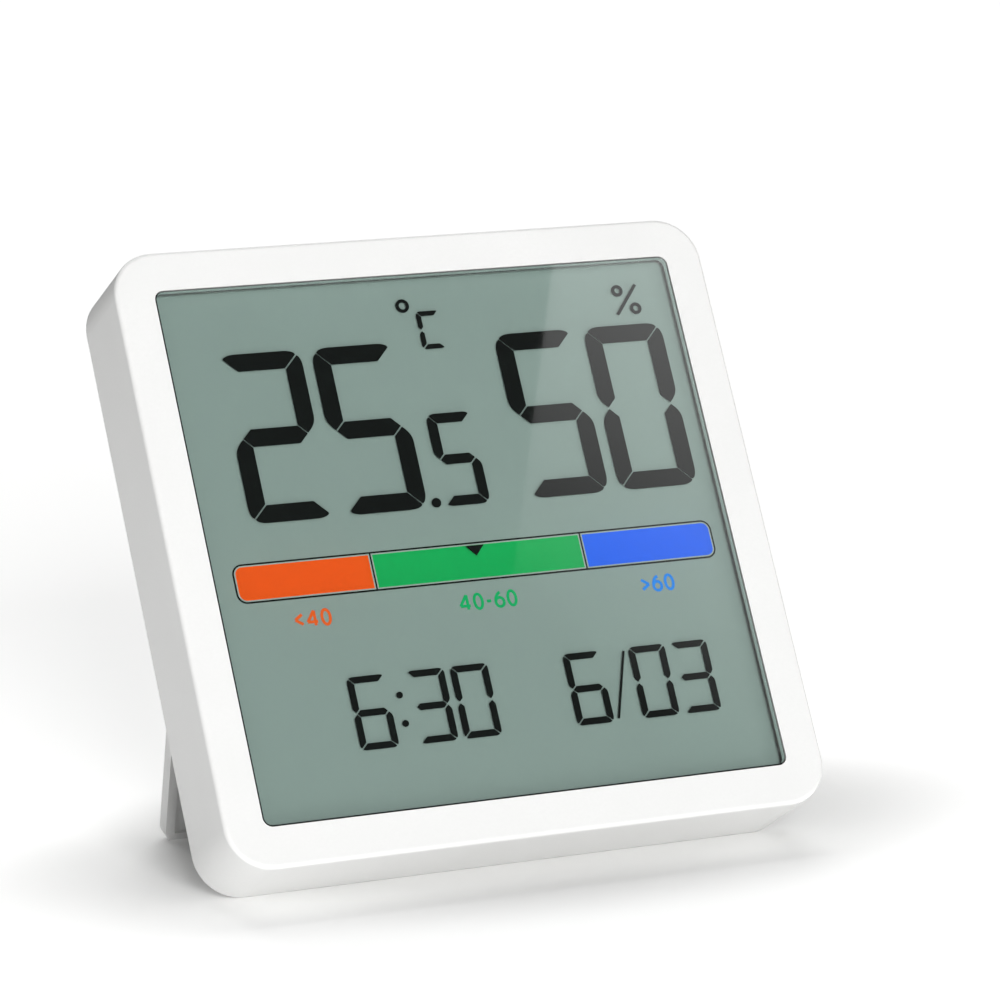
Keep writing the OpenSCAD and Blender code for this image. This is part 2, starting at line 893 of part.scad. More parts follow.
// Leaf spring that rises from the board to the flat of the cell
module negative_contact() {
    low = board_z - contact_t;
    high = cell_z + cell_h;
    bend_a = 0.4 * leaf_l;
    bend_b = 0.75 * leaf_l;
    skew = contact_t / 2;
    leaf = [
        [0, board_z], [bend_a, board_z], [bend_b, high + contact_t], [leaf_l, high + contact_t],
        [leaf_l, high], [bend_b - skew, high], [bend_a - skew, low], [0, low]
    ];
    color("goldenrod")
        place()
            translate([cell_x - leaf_l / 2, cell_y, 0])
                rotate([90, 0, 0])
                    linear_extrude(contact_w, center = true)
                        polygon(leaf);
}

// Sector of a disc, centred on an angle
module sector(r, spread, z0, z1)
    translate([0, 0, z0])
        rotate(-spread / 2)
            rotate_extrude(angle = spread)
                square([r, z1 - z0]);

module battery_door()
    color("whitesmoke")
        place()
            translate([cell_x, cell_y, 0])
                difference() {
                    union() {
                        cylinder(r = door_r, h = lug_z + lug_t);
                        for (i = [0:lug_count - 1])
                            rotate(lug_start + i * 360 / lug_count)
                                sector(lug_r, lug_angle, lug_z, lug_z + lug_t);
                    }
                    translate([0, 0, cover_t])
                        cylinder(r = ring_r, h = body_d);
                    slot(coin_slot_l, coin_slot_w, -through, coin_slot_d);
                    post([0, door_r - 3 * mark_r], mark_r, -through, mark_d);
                }

// Buttons

module button_body(p)
    difference() {
        union() {
            post(p, button_r, button_recess, cover_t + seat_gap + flange_t);
            post(p, flange_r, cover_t + seat_gap, cover_t + seat_gap + flange_t);
            post(p, stem_r, cover_t + flange_t, stem_end);
        }
        translate([p.x, p.y, button_recess - through])
            linear_extrude(through + icon_d)
                children();
    }

module mode_button()
    color("white")
        place()
            button_body(button_places[0])
                ring(icon_r, icon_stroke);

module up_button()
    color("white")
        place()
            button_body(button_places[1])
                rotate(90)
                    circle(icon_r, $fn = 3);

module down_button()
    color("white")
        place()
            button_body(button_places[2])
                rotate(-90)
                    circle(icon_r, $fn = 3);

module plunger(i)
    color("dimgray")
        place()
            post(button_places[i], plunger_r, stem_end, switch_z + plunger_in);

module mode_plunger()
    plunger(0);

module up_plunger()
    plunger(1);

module down_plunger()
    plunger(2);

// Rear cover

module cover_solid() {
    tub_w = pocket_w + 2 * pocket_side_t;
    tub_bottom = pocket_bottom - pocket_end_t;
    tub_top = pocket_top + pocket_end_t;
    trough_start = hinge_y - trough_below - pocket_end_t;
    plate(cover_w, cover_h, cover_r, 0, cover_t);
    translate([-tub_w / 2, tub_bottom, 0])
        cube([tub_w, tub_top - tub_bottom, pocket_floor + floor_t]);
    translate([-tub_w / 2, trough_start, 0])
        cube([tub_w, tub_top - trough_start, trough_floor + floor_t]);
    intersection() {
        translate([cell_x, cell_y, 0]) {
            cylinder(r = groove_r + well_wall_t, h = groove_z + well_wall_t);
            cylinder(r = well_r + well_wall_t, h = well_floor_z + well_floor_t);
        }
        plate(cover_w, cover_h, cover_r, 0, body_d);
    }
    for (p = case_seats)
        post(p, case_pad_r, 0, p.z + case_seat_t);
}

module stand_pocket() {
    depth = pocket_top - pocket_bottom;
    r = stand_corner_r + stand_gap;
    translate([0, (pocket_top + pocket_bottom) / 2, -through])
        linear_extrude(pocket_floor + through) {
            translate([0, r / 2])
                square([pocket_w, depth - r], center = true);
            square([pocket_w - 2 * r, depth], center = true);
            for (s = [-1, 1])
                translate([s * (pocket_w / 2 - r), r - depth / 2])
                    circle(r);
        }
    translate([-pocket_w / 2, hinge_y - trough_below, -through])
        cube([pocket_w, pocket_top - hinge_y + trough_below, trough_floor + through]);
    translate([0, hinge_y, hinge_in])
        rotate([0, 90, 0])
            cylinder(r = hinge_r + hinge_gap, h = stand_w + 2 * hinge_l + 2 * stand_gap, center = true);
    translate([0, pocket_bottom - relief_d + relief_r, -through])
        cylinder(r = relief_r, h = relief_z + through, $fn = 128);
}

module battery_well() {
    notch = lug_angle + notch_spare;
    translate([cell_x, cell_y, 0]) {
        translate([0, 0, -through])
            cylinder(r = door_r + door_gap, h = cover_t + 2 * through);
        translate([0, 0, cover_t])
            cylinder(r = groove_r, h = groove_z - cover_t);
        translate([0, 0, cover_t])
            cylinder(r = well_r, h = well_floor_z - cover_t);
        for (i = [0:lug_count - 1])
            rotate(lug_start - door_turn + i * 360 / lug_count)
                sector(lug_r + door_gap, notch, -through, cover_t + through / 2);
        translate([0, 0, well_floor_z])
            cube([leaf_l + leaf_spare, contact_w + leaf_spare, 2 * well_floor_t + through], center = true);
        translate([cell_r - well_wall_t, -(clip_w + leaf_spare) / 2, groove_z])
            cube([well_wall_t * 3, clip_w + leaf_spare, body_d]);
    }
}

module vent_slots()
    for (i = [0:vent_count - 1])
        translate([sensor_x + (i - (vent_count - 1) / 2) * vent_pitch, sensor_y, 0])
            rotate(90)
                slot(vent_l, vent_w, -through, cover_t + through);

module rear_cover()
    color("white")
        place()
            difference() {
                cover_solid();
                stand_pocket();
                battery_well();
                vent_slots();
                for (p = button_places)
                    post(p, button_r + button_gap, -through, cover_t + through);
                for (p = case_seats) {
                    post(p, case_head_r + case_head_gap, -through, p.z);
                    post(p, case_screw_r + boss_hole_gap / 2, -through, body_d);
                }
                for (a = [0, -door_turn])
                    translate([cell_x, cell_y, 0])
                        rotate(lug_start + a)
                            post([door_r + 4 * mark_r, 0], mark_r, -through, mark_d);
            }

// Stand

// Section of the stand about the hinge axis: heel with its stop face, plate, foot with a round edge
module stand_section() {
    outer = -hinge_in;
    inner = stand_inner;
    stop_y = (stop_depth - inner * cos(stand_open)) / sin(stand_open);
    stop_z = (stop_depth - heel_l * sin(stand_open)) / cos(stand_open);
    polygon([
        [heel_l, outer], [heel_l, stop_z], [stop_y, inner], [-stand_l, inner],
        [-stand_l, outer + foot_r], [foot_r - stand_l, outer + foot_r], [foot_r - stand_l, outer]
    ]);
    translate([foot_r - stand_l, outer + foot_r])
        intersection() {
            circle(foot_r);
            translate([-foot_r, -foot_r])
                square(foot_r);
        }
}

module stand_folded()
    difference() {
        union() {
            intersection() {
                rotate([90, 0, 90])
                    linear_extrude(stand_w, center = true)
                        stand_section();
                translate([0, -stand_l / 2, 0])
                    linear_extrude(4 * stand_t, center = true) {
                        translate([0, stand_corner_r + heel_l])
                            square([stand_w, stand_l + 2 * heel_l], center = true);
                        square([stand_w - 2 * stand_corner_r, stand_l], center = true);
                        for (s = [-1, 1])
                            translate([s * (stand_w / 2 - stand_corner_r), stand_corner_r - stand_l / 2])
                                circle(stand_corner_r);
                    }
            }
            for (s = [-1, 1])
                translate([s * stand_w / 2, 0, 0])
                    rotate([0, 90, 0])
                        cylinder(r = hinge_r, h = 2 * hinge_l, center = true);
        }
        translate([stand_rim - stand_w / 2, stand_rim - stand_l, stand_inner - panel_sink])
            cube([stand_w - 2 * stand_rim, stand_l - stand_rim - panel_top, stand_t]);
    }

module stand()
    color("whitesmoke")
        difference() {
            place()
                translate([0, hinge_y, hinge_in])
                    rotate([stand_open, 0, 0])
                        stand_folded();
            translate([0, 0, -body_h / 2])
                cube([2 * body_w, 2 * body_h, body_h], center = true);
        }

module case_screws()
    color("silver")
        place()
            for (p = case_seats)
                translate(p)
                    screw(case_screw_r, case_screw_l, case_head_r, case_head_h);

front_shell();
window_lens();
lcd_front_polariser();
lcd_front_glass();
lcd_segments();
lcd_rear_glass();
comfort_film();
lcd_reflector();
lcd_holder();
zebra_strip();
main_board();
controller_resin();
crystal();
sensor_chip();
chip_passives();
tact_switches();
board_screws();
battery_cell();
positive_contact();
negative_contact();
rear_cover();
battery_door();
mode_button();
up_button();
down_button();
mode_plunger();
up_plunger();
down_plunger();
stand();
case_screws();
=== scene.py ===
"""Looks of a desk thermo-hygrometer with a clock: a white ABS case, a clear window over a reflective
display, and a folding stand. Names that end in mm are millimetres; all other lengths are metres, and
angles are degrees."""

import json
import math

import bpy
from mathutils import Matrix, Vector


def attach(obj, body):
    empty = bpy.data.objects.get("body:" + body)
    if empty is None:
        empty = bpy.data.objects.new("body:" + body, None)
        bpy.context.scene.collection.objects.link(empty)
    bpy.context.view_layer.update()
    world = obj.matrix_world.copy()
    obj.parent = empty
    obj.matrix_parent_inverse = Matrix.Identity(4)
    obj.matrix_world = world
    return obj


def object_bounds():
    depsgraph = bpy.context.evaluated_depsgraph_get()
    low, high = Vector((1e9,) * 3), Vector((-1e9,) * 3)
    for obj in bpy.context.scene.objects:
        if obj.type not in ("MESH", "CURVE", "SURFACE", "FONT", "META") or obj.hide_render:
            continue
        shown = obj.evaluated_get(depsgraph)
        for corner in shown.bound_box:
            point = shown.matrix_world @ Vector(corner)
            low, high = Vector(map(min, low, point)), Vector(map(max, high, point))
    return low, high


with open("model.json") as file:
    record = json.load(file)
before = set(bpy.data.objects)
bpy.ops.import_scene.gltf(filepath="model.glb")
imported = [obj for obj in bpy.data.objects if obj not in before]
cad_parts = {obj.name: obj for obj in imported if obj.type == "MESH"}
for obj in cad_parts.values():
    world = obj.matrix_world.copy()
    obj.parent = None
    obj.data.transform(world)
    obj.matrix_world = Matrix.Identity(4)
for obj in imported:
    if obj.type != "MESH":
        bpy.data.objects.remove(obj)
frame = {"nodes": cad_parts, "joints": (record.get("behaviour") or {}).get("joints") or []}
cad_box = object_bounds()

MM = 0.001

# The case leans back. ALONG_FACE runs to the right, UP_FACE climbs the face, and TO_FACE leaves it,
# which is the way that the buttons at the back are pressed.
JOINTS = {joint["name"]: joint for joint in frame["joints"]}
TO_FACE = Vector(JOINTS["mode_press"]["axis"])
ALONG_FACE = Vector((1, 0, 0))
UP_FACE = TO_FACE.cross(ALONG_FACE)
FACE_AXES = ALONG_FACE, UP_FACE, TO_FACE

# Camera, fitted to the straight edges of the case
CAMERA_AIM = Vector((0.002953, -0.005861, 0.039748))
CAMERA_DISTANCE = 0.508
CAMERA_AZIMUTH = -24.47
CAMERA_ELEVATION = 10.47
CAMERA_ROLL = -0.55
CAMERA_LENS_MM = 164.74
CAMERA_CLIP_START = 0.01

# A ray into the window and on to a light passes this many clear faces at most.
CLEAR_FACES = 24

# A pale floor with a lit strip that runs from the camera past the object. The strip glows fully up to its
# core and not at all past its reach, both measured from its middle. It is shaded under the object by an
# ellipse with half widths SHADE_SIZE, whose soft edge runs between two shares of that size.
FLOOR_WIDTH = 5.0
FLOOR_COLOUR = "#F4F4F3"
STRIP_GLOW = 0.48
STRIP_CORE = 0.17
STRIP_REACH = 0.34
SHADE_CENTRE = Vector((0.004, 0.0, 0.0))
SHADE_SIZE = Vector((0.052, 0.029, 1.0))
SHADE_EDGE = (0.6, 1.4)

# Walls that glow near the horizon, and a dim ceiling that starts at HORIZON_TOP, the sine of its height
HORIZON_COLOUR = "#FFFFFF"
HORIZON_STRENGTH = 0.25
CEILING_COLOUR = "#F2F5F4"
CEILING_STRENGTH = 0.06
HORIZON_TOP = 0.55

# The key softbox hangs where the window mirrors it to the camera: its near edge crosses the display
# at a slant. KEY_FADE is the glow at its lower near corner, where it is cut off at zero, and the gains
# across it and along it.
KEY_DISTANCE = 0.9
KEY_SIZE = (0.30, 0.33)
KEY_NEAR_EDGE = 0.014
KEY_LOW_END = -0.2
KEY_ROLL = 35.9
KEY_RADIANCE = 1.02
KEY_FADE = (-1.18, 1.06, 2.2)

# Softboxes that light the case and the floor: name, place, size, power in watts, and whether the gloss
# of the part shows them. The front one stays out of it, or the window would mirror it in a front view.
FILL_SOFTBOXES = [
    ("back_softbox", Vector((0.3, 1.3, 1.5)), 1.6, 20.0, True),
    ("front_softbox", Vector((-0.2, -1.17, 0.42)), 0.46, 14.1, False),
]

# The window's corner radius, and the gap between it and the frame
WINDOW_CORNER_MM = 0.95
WINDOW_GAP_MM = 0.15

# The printed bar: corner radius, dark outline, pale gap inside it, and the dividers' distance from its
# middle
BAR_CORNER_MM = 1.2
BAR_LINE_MM = 0.2
BAR_GAP_MM = 0.15
BAR_DIVIDER_MM = 12.8

# The range numbers under the bar, on the reflector. Strokes and gaps are in heights of a digit.
LABEL_HEIGHT_MM = 2.05
LABEL_DROP_MM = 4.62
LABEL_LIFT_MM = 0.012
LABEL_THICKNESS_MM = 0.012
SIGN_STROKE = 0.2
SIGN_GAP = 0.32

# Fields of the bar: name of the range number, its signs, its column, and the colours of field and number
FIELDS = [
    ("dry_range_number", "<40", -1, "#FB611C", "#FC6C29"),
    ("comfort_range_number", "40-60", 0, "#19B860", "#19BF6F"),
    ("humid_range_number", ">60", 1, "#246FFF", "#2195FF"),
]


def linear(hex_colour):
    """An sRGB hex colour as the linear RGBA that Blender's sockets take."""
    channels = [int(hex_colour[i:i + 2], 16) / 255 for i in (1, 3, 5)]
    return [c / 12.92 if c <= 0.04045 else ((c + 0.055) / 1.055) ** 2.4 for c in channels] + [1.0]


def add(tree, kind, inputs=None, **settings):
    """Adds one node. Settings are its properties; inputs are socket values, or sockets that feed them."""
    node = tree.nodes.new("ShaderNode" + kind)
    for name, value in settings.items():
        setattr(node, name, value)
    for socket, value in (inputs or {}).items():
        if isinstance(value, bpy.types.NodeSocket):
            tree.links.new(value, node.inputs[socket])
        else:
            node.inputs[socket].default_value = value
    return node


def flat_points(node):
    """A CAD node's points on the leaning case, in mm: along the face, up the face, towards the face."""
    vertices = frame["nodes"][node].data.vertices
    return [Vector([v.co.dot(axis) for axis in FACE_AXES]) / MM for v in vertices]


def front_span(node, skin_mm=0.01):
    """Lowest and highest corner of the front face of a CAD node, in mm on the leaning case."""
    points = flat_points(node)
    front = max(p.z for p in points)
    face = [p for p in points if p.z > front - skin_mm]
    return Vector(map(min, *face)), Vector(map(max, *face))


def from_flat(point):
    """A place in mm on the leaning case as a place in the frame, in metres."""
    return sum((axis * value * MM for axis, value in zip(FACE_AXES, point)), Vector())


def new_material(name):
    """An empty node material and its tree."""
    material = bpy.data.materials.new(name)
    material.use_nodes = True
    material.node_tree.nodes.clear()
    return material, material.node_tree


def face_offsets(tree, middle):
    """Sockets with the distance from a place on the face, along it and up it, in mm."""
    place = add(tree, "TexCoord").outputs["Object"]
    offsets = []
    for axis, start in zip(FACE_AXES, middle[:2]):
        along = add(tree, "VectorMath", {0: place, 1: axis / MM}, operation="DOT_PRODUCT")
        offset = add(tree, "Math", {0: along.outputs["Value"], 1: start}, operation="SUBTRACT")
        offsets.append(offset.outputs[0])
    return offsets


def depth_inside(tree, offsets, half, corner_mm):
    """A socket with the distance inwards from the edge of a rounded rectangle, up to its corner radius."""
    past = []
    for offset, reach in zip(offsets, half[:2]):
        away = add(tree, "Math", {0: offset}, operation="ABSOLUTE")
        over = add(tree, "Math", {0: away.outputs[0], 1: reach - corner_mm}, operation="SUBTRACT")
        past.append(add(tree, "Math", {0: over.outputs[0], 1: 0.0}, operation="MAXIMUM").outputs[0])
    corner = add(tree, "CombineXYZ", {0: past[0], 1: past[1]})
    length = add(tree, "VectorMath", {0: corner.outputs[0]}, operation="LENGTH")
    return add(tree, "Math", {0: corner_mm, 1: length.outputs["Value"]}, operation="SUBTRACT").outputs[0]


def arc(centre, radii, start=0, end=360, steps=24):
    """Points along an ellipse, between two angles."""
    points = []
    for i in range(steps + 1):
        turn = math.radians(start + (end - start) * i / steps)
        points.append((centre[0] + radii[0] * math.cos(turn), centre[1] + radii[1] * math.sin(turn)))
    return points


# Solid finishes

def moulded(name, pale, deep, roughness, grain_mm, relief_mm, ior=1.53):
    """Moulded plastic: the spark-eroded tool leaves an even satin grain, and the flow a faint cloudiness.
    The grain is drawn coarser than it is, so that it shows."""
    cloud_mm = 9.0
    gloss_spread = 0.08
    material, tree = new_material(name)
    place = add(tree, "TexCoord").outputs["Object"]
    grain = add(tree, "TexNoise", {"Vector": place, "Scale": 1 / (grain_mm * MM), "Detail": 2.0})
    cloud = add(tree, "TexNoise", {"Vector": place, "Scale": 1 / (cloud_mm * MM), "Detail": 1.0})
    both = add(tree, "Math", {0: grain.outputs[0], 1: cloud.outputs[0]}, operation="MULTIPLY")
    colour = add(tree, "MixRGB", {0: both.outputs[0], 1: linear(deep), 2: linear(pale)})
    rough = add(tree, "MapRange", {
        0: grain.outputs[0], 3: roughness - gloss_spread, 4: roughness + gloss_spread})
    bump = add(tree, "Bump", {"Strength": 0.6, "Distance": relief_mm * MM, "Height": grain.outputs[0]})
    shader = add(tree, "BsdfPrincipled", {
        "Base Color": colour.outputs[0], "Roughness": rough.outputs[0], "IOR": ior,
        "Normal": bump.outputs[0]})
    add(tree, "OutputMaterial", {"Surface": shader.outputs[0]})
    return material


def plated(name, pale, deep, roughness, streak_mm):
    """Plated sheet or turned metal: bright, with fine drawn streaks that vary its gloss."""
    stretch = Vector((1.0, 1.0, 0.12))
    gloss_spread = 0.1
    relief_mm = 0.01
    material, tree = new_material(name)
    place = add(tree, "TexCoord").outputs["Object"]
    drawn = add(tree, "VectorMath", {0: place, 1: stretch}, operation="MULTIPLY")
    streak = add(tree, "TexNoise", {
        "Vector": drawn.outputs[0], "Scale": 1 / (streak_mm * MM), "Detail": 3.0})
    colour = add(tree, "MixRGB", {0: streak.outputs[0], 1: linear(deep), 2: linear(pale)})
    rough = add(tree, "MapRange", {
        0: streak.outputs[0], 3: roughness - gloss_spread, 4: roughness + gloss_spread})
    bump = add(tree, "Bump", {"Strength": 0.4, "Distance": relief_mm * MM, "Height": streak.outputs[0]})
    shader = add(tree, "BsdfPrincipled", {
        "Base Color": colour.outputs[0], "Roughness": rough.outputs[0], "Metallic": 1.0,
        "Normal": bump.outputs[0]})
    add(tree, "OutputMaterial", {"Surface": shader.outputs[0]})
    return material


def solder_mask():
    """Glass laminate under green solder mask: copper tracks show through as paler stripes."""
    track_mm = 1.6
    relief_mm = 0.03
    material, tree = new_material("solder_mask_laminate")
    place = add(tree, "TexCoord").outputs["Object"]
    tracks = add(tree, "TexBrick", {
        "Vector": place, "Scale": 1 / (track_mm * MM),
        "Color1": linear("#0E4A2A"), "Color2": linear("#115631"), "Mortar": linear("#2E8A54"),
        "Mortar Size": 0.12, "Brick Width": 4.0, "Row Height": 1.0})
    bump = add(tree, "Bump", {
        "Strength": 0.3, "Distance": relief_mm * MM, "Height": tracks.outputs["Fac"]})
    shader = add(tree, "BsdfPrincipled", {
        "Base Color": tracks.outputs["Color"], "Roughness": 0.3, "IOR": 1.55, "Normal": bump.outputs[0]})
    add(tree, "OutputMaterial", {"Surface": shader.outputs[0]})
    return material


def contact_elastomer():
    """Silicone rubber in layers, conducting and plain by turns: dark and grey stripes across its length."""
    layer_mm = 0.4
    wave_turn = 20  # radians that the wave texture turns in one unit
    material, tree = new_material("layered_silicone")
    place = add(tree, "TexCoord").outputs["Object"]
    layers = add(tree, "TexWave", {
        "Vector": place, "Scale": 2 * math.pi / (wave_turn * layer_mm * MM), "Distortion": 0.0})
    colour = add(tree, "MixRGB", {0: layers.outputs["Fac"], 1: linear("#26272A"), 2: linear("#7D8084")})
    shader = add(tree, "BsdfPrincipled", {
        "Base Color": colour.outputs[0], "Roughness": 0.65, "IOR": 1.41})
    add(tree, "OutputMaterial", {"Surface": shader.outputs[0]})
    return material


# Display and window

def window_acrylic():
    """Clear acrylic. Its two faces and the face of the display behind it all mirror the studio, and the
    front stands for the three. Its sides and the rim of its front are dark, a painted shade for the
    shadowed gap round the window, and seen from within the sides mirror the display."""
    air_faces = 3
    gap_shade_lap_mm = 0.03
    side_slope = 0.5
    low, high = front_span("window_lens")
    material, tree = new_material("clear_acrylic")
    offsets = face_offsets(tree, (low + high) / 2)
    inside = depth_inside(tree, offsets, (high - low) / 2, WINDOW_CORNER_MM)
    inner = add(tree, "NewGeometry").outputs["Backfacing"]
    outer = add(tree, "Math", {0: 1.0, 1: inner}, operation="SUBTRACT").outputs[0]
    # Painted shade: the rim of the front and the sides seen from outside go dark, for the shadowed gap
    # round the window
    edge = add(tree, "Math", {0: inside, 1: gap_shade_lap_mm}, operation="LESS_THAN")
    gap_shade_mask = add(tree, "Math", {0: edge.outputs[0], 1: outer}, operation="MULTIPLY")
    normal = add(tree, "TexCoord").outputs["Normal"]
    to_front = add(tree, "VectorMath", {0: normal, 1: TO_FACE}, operation="DOT_PRODUCT")
    slope = add(tree, "Math", {0: to_front.outputs["Value"]}, operation="ABSOLUTE")
    side = add(tree, "Math", {0: slope.outputs[0], 1: side_slope}, operation="LESS_THAN")
    within = add(tree, "Math", {0: side.outputs[0], 1: inner}, operation="MULTIPLY")
    one_face = add(tree, "Fresnel", {"IOR": 1.49})
    all_faces = add(tree, "Math", {0: one_face.outputs[0], 1: air_faces}, operation="MULTIPLY",
                    use_clamp=True)
    mirror = add(tree, "Math", {0: all_faces.outputs[0], 1: outer}, operation="MULTIPLY")
    share = add(tree, "Math", {0: mirror.outputs[0], 1: within.outputs[0]}, operation="MAXIMUM")
    clear = add(tree, "BsdfTransparent", {"Color": linear("#FEFEFE")})
    gloss = add(tree, "BsdfGlossy", {"Color": linear("#FFFFFF"), "Roughness": 0.02})
    pane = add(tree, "MixShader", {0: share.outputs[0], 1: clear.outputs[0], 2: gloss.outputs[0]})
    # Painted shade: a dark ink that stands for the shadowed gap round the window
    painted_gap_shade = add(tree, "BsdfPrincipled", {"Base Color": linear("#1B201E"), "Roughness": 0.55})
    surface = add(tree, "MixShader", {0: gap_shade_mask.outputs[0], 1: pane.outputs[0], 2: painted_gap_shade.outputs[0]})
    add(tree, "OutputMaterial", {"Surface": surface.outputs[0]})
    return material


def clear_layer(name, tint):
    """A display layer bonded to its neighbours, so that it tints what is behind it and mirrors nothing."""
    material, tree = new_material(name)
    clear = add(tree, "BsdfTransparent", {"Color": linear(tint)})
    add(tree, "OutputMaterial", {"Surface": clear.outputs[0]})
    return material


def display_reflector():
    """Diffusing polyester reflector behind the display: greenish grey, with a pearly grain and a soft
    sheen. Its border beyond the window, which only a slanting look under the frame reaches, is painted
    pale: painted light that lifts the shade cast there by the frame's lip."""
    pearl_mm = 0.35
    painted_light_mm = 0.4
    low, high = front_span("window_lens")
    material, tree = new_material("pearl_reflector_film")
    offsets = face_offsets(tree, (low + high) / 2)
    half = (high - low) / 2 + Vector((WINDOW_GAP_MM, WINDOW_GAP_MM, 0))
    inside = depth_inside(tree, offsets, half, WINDOW_CORNER_MM + WINDOW_GAP_MM)
    # Painted light: paler towards the border beyond the window, to lift the shade of the frame's lip
    painted_light_fade = add(tree, "MapRange", {0: inside, 1: 0.0, 2: -painted_light_mm})
    place = add(tree, "TexCoord").outputs["Object"]
    pearl = add(tree, "TexNoise", {"Vector": place, "Scale": 1 / (pearl_mm * MM), "Detail": 2.0})
    colour = add(tree, "MixRGB", {0: pearl.outputs[0], 1: linear("#96ADA5"), 2: linear("#9EB5AD")})
    # Painted light: the pale colour that lifts the shade under the frame's lip
    with_painted_light = add(tree, "MixRGB", {0: painted_light_fade.outputs[0], 1: colour.outputs[0], 2: linear("#F2F6F4")})
    shader = add(tree, "BsdfPrincipled", {"Base Color": with_painted_light.outputs[0], "Roughness": 0.3, "IOR": 1.85})
    add(tree, "OutputMaterial", {"Surface": shader.outputs[0]})
    return material


def display_segments():
    """Driven liquid crystal between crossed polarisers: a green-tinged black with no gloss of its own."""
    mottle_mm = 2.5
    material, tree = new_material("driven_liquid_crystal")
    place = add(tree, "TexCoord").outputs["Object"]
    mottle = add(tree, "TexNoise", {"Vector": place, "Scale": 1 / (mottle_mm * MM), "Detail": 1.0})
    colour = add(tree, "MixRGB", {0: mottle.outputs[0], 1: linear("#0A0F0D"), 2: linear("#101614")})
    shader = add(tree, "BsdfPrincipled", {
        "Base Color": colour.outputs[0], "Roughness": 0.9, "Specular IOR Level": 0.0})
    add(tree, "OutputMaterial", {"Surface": shader.outputs[0]})
    return material


def lay_ink(tree, colour, mesh_mm, detail):
    """Ends a material as screen-printed ink: matt and dense, with the unevenness that the mesh leaves."""
    thinnest, thickest = 0.94, 1.06
    place = add(tree, "TexCoord").outputs["Object"]
    mesh = add(tree, "TexNoise", {"Vector": place, "Scale": 1 / (mesh_mm * MM), "Detail": detail})
    density = add(tree, "MapRange", {0: mesh.outputs[0], 3: thinnest, 4: thickest})
    tone = add(tree, "HueSaturation", {"Value": density.outputs[0], "Color": colour})
    shader = add(tree, "BsdfPrincipled", {
        "Base Color": tone.outputs[0], "Roughness": 0.6, "Specular IOR Level": 0.0})
    add(tree, "OutputMaterial", {"Surface": shader.outputs[0]})


def comfort_print():
    """Inks screen-printed on film: three colour fields in a dark outline, with a pale gap inside it.
    The unevenness is drawn coarser than the mesh, so that it shows."""
    low, high = front_span("comfort_film")
    material, tree = new_material("screen_printed_film")
    x, y = face_offsets(tree, (low + high) / 2)
    rim = depth_inside(tree, (x, y), (high - low) / 2, BAR_CORNER_MM)
    away = add(tree, "Math", {0: x}, operation="ABSOLUTE")
    from_divider = add(tree, "Math", {0: away.outputs[0], 1: BAR_DIVIDER_MM}, operation="SUBTRACT")
    beside = add(tree, "Math", {0: from_divider.outputs[0]}, operation="ABSOLUTE")
    divider = add(tree, "Math", {0: beside.outputs[0], 1: BAR_LINE_MM / 2}, operation="ADD")
    edge = add(tree, "Math", {0: rim, 1: divider.outputs[0]}, operation="MINIMUM").outputs[0]
    right = add(tree, "Math", {0: x, 1: BAR_DIVIDER_MM}, operation="GREATER_THAN")
    left = add(tree, "Math", {0: x, 1: -BAR_DIVIDER_MM}, operation="LESS_THAN")
    dry, comfort, humid = [linear(field_colour) for _, _, _, field_colour, _ in FIELDS]
    two = add(tree, "MixRGB", {0: right.outputs[0], 1: comfort, 2: humid})
    fields = add(tree, "MixRGB", {0: left.outputs[0], 1: two.outputs[0], 2: dry})
    in_gap = add(tree, "Math", {0: edge, 1: BAR_LINE_MM + BAR_GAP_MM}, operation="LESS_THAN")
    in_line = add(tree, "Math", {0: edge, 1: BAR_LINE_MM}, operation="LESS_THAN")
    framed = add(tree, "MixRGB", {0: in_gap.outputs[0], 1: fields.outputs[0], 2: linear("#A8BBB2")})
    colour = add(tree, "MixRGB", {0: in_line.outputs[0], 1: framed.outputs[0], 2: linear("#141B18")})
    lay_ink(tree, colour.outputs[0], mesh_mm=0.5, detail=2.0)
    return material


def ink(name, colour):
    """One screen-printed colour, for the range numbers."""
    material, tree = new_material(name)
    lay_ink(tree, linear(colour), mesh_mm=0.12, detail=1.0)
    return material


def dress(material, *nodes):
    """Gives CAD nodes one material."""
    for node in nodes:
        data = frame["nodes"][node].data
        data.materials.clear()
        data.materials.append(material)


def dress_case():
    """The pieces that a hand can touch, and the screws."""
    dress(moulded("white_abs_satin", "#EEEEED", "#E6E6E5", 0.46, 0.35, 0.008),
          "front_shell", "rear_cover", "stand", "battery_door")
    dress(moulded("white_abs_keys", "#EAEAE9", "#E2E2E1", 0.38, 0.3, 0.005),
          "mode_button", "up_button", "down_button")
    dress(window_acrylic(), "window_lens")
    dress(plated("zinc_plated_steel", "#D4D6D8", "#A9ABAE", 0.34, 0.3), "case_screws", "board_screws")


def dress_display():
    """The layers of the display, from the front to the reflector."""
    dress(clear_layer("polariser_film", "#FDFDFD"), "lcd_front_polariser")
    dress(clear_layer("display_glass", "#FEFEFE"), "lcd_front_glass", "lcd_rear_glass")
    dress(display_segments(), "lcd_segments")
    dress(comfort_print(), "comfort_film")
    dress(display_reflector(), "lcd_reflector")


